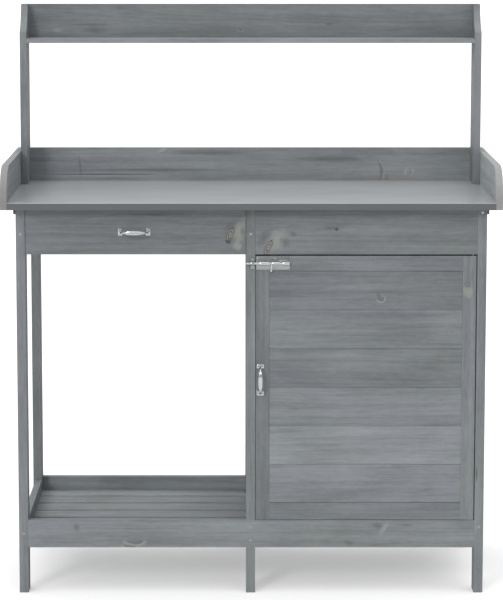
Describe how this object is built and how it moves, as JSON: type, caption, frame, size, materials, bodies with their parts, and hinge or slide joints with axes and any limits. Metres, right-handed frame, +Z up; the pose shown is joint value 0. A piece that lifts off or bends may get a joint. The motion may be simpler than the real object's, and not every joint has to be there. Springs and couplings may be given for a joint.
{
  "type": "potting bench",
  "caption": "Grey-stained fir potting bench with a sheet-covered worktop, drawer, slatted shelf, cabinet door with a barrel bolt, and a small hutch shelf.",
  "frame": {"origin": "on the floor, under the middle of the bench's width and depth", "axes": "+Z up, -Y out of the front, +X to the right seen from the front"},
  "size_m": [1.08, 0.465, 1.275],
  "materials": {
    "grey_fir": "grey stain wiped on planed fir, grain and knots showing through, matt",
    "galvanised_sheet": "smooth galvanised sheet, softly reflective",
    "zinc": "bright zinc plate",
    "screw_steel": "bright zinc-plated screws and pins",
    "plywood": "thin plywood, washed with the same grey stain"
  },
  "bodies": {
    "bench": {"back_guard": "grey_fir", "back_planks": "grey_fir", "bolt_keeper": "zinc", "cabinet_apron": "grey_fir", "cleat_front": "grey_fir", "cleat_rear": "grey_fir", "drawer_runners": "grey_fir", "frame_screws": "screw_steel", "hutch_back": "grey_fir", "hutch_shelf": "grey_fir", "leg_front_left": "grey_fir", "leg_front_right": "grey_fir", "leg_rear_left": "grey_fir", "leg_rear_right": "grey_fir", "partition_planks": "grey_fir", "pivot_pins": "screw_steel", "post_front": "grey_fir", "post_rear": "grey_fir", "rail_front_lower": "grey_fir", "rail_left_lower": "grey_fir", "rail_left_upper": "grey_fir", "rail_partition_upper": "grey_fir", "rail_rear_lower": "grey_fir", "rail_rear_upper": "grey_fir", "rail_right_lower": "grey_fir", "rail_right_upper": "grey_fir", "side_guard_left": "grey_fir", "side_guard_right": "grey_fir", "side_planks": "grey_fir", "slat_1": "grey_fir", "slat_2": "grey_fir", "slat_3": "grey_fir", "slat_4": "grey_fir", "slat_5": "grey_fir", "slat_6": "grey_fir", "slat_ledgers": "grey_fir", "upright_left": "grey_fir", "upright_right": "grey_fir", "worktop_core": "grey_fir", "worktop_sheet": "galvanised_sheet"},
    "drawer": {"drawer_back": "grey_fir", "drawer_bottom": "plywood", "drawer_front": "grey_fir", "drawer_handle": "zinc", "drawer_screws": "screw_steel", "drawer_side_left": "grey_fir", "drawer_side_right": "grey_fir"},
    "door": {"door_bushes": "screw_steel", "door_handle": "zinc", "door_planks": "grey_fir", "door_rail_bottom": "grey_fir", "door_rail_top": "grey_fir", "door_screws": "screw_steel", "door_stile_hinge": "grey_fir", "door_stile_latch": "grey_fir", "bolt_plate": "zinc"},
    "bolt": {"bolt_rod": "zinc"}
  },
  "joints": [
    {"name": "door_swing", "type": "hinge", "parent": "bench", "child": "door", "pos_m": [0.4802, -0.1965, 0.457], "axis": [0, 0, 1], "range_deg": [0, 105]},
    {"name": "drawer_slide", "type": "slide", "parent": "bench", "child": "drawer", "axis": [0, -1, 0], "range_m": [0, 0.3]},
    {"name": "bolt_slide", "type": "slide", "parent": "door", "child": "bolt", "axis": [1, 0, 0], "range_m": [0, 0.021]}
  ]
}
